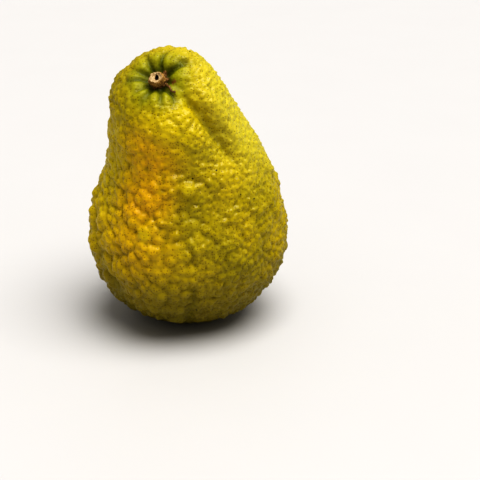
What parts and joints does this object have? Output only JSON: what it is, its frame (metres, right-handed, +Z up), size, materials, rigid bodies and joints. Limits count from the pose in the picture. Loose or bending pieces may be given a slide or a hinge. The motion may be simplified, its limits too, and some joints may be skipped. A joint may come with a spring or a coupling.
{
  "type": "whole citron fruit",
  "caption": "Whole citron, a large warty yellow-green citrus fruit with a narrow leaning neck, standing on its blossom end with a short stalk stub.",
  "frame": {"origin": "middle of the bottom of the bounding box, on the surface the fruit stands on", "axes": "+Z up, along the fruit's length; -Y the side the neck leans to and the stalk looks over; +X to the right seen from there"},
  "size_m": [0.096, 0.0962, 0.1396],
  "materials": {
    "rind": "waxy, uneven gloss over warts and pits",
    "calyx": "dry and matt",
    "stalk": "dry and matt"
  },
  "bodies": {
    "root": {"fruit": "rind", "calyx": "calyx", "stalk_stub": "stalk"}
  },
  "joints": []
}
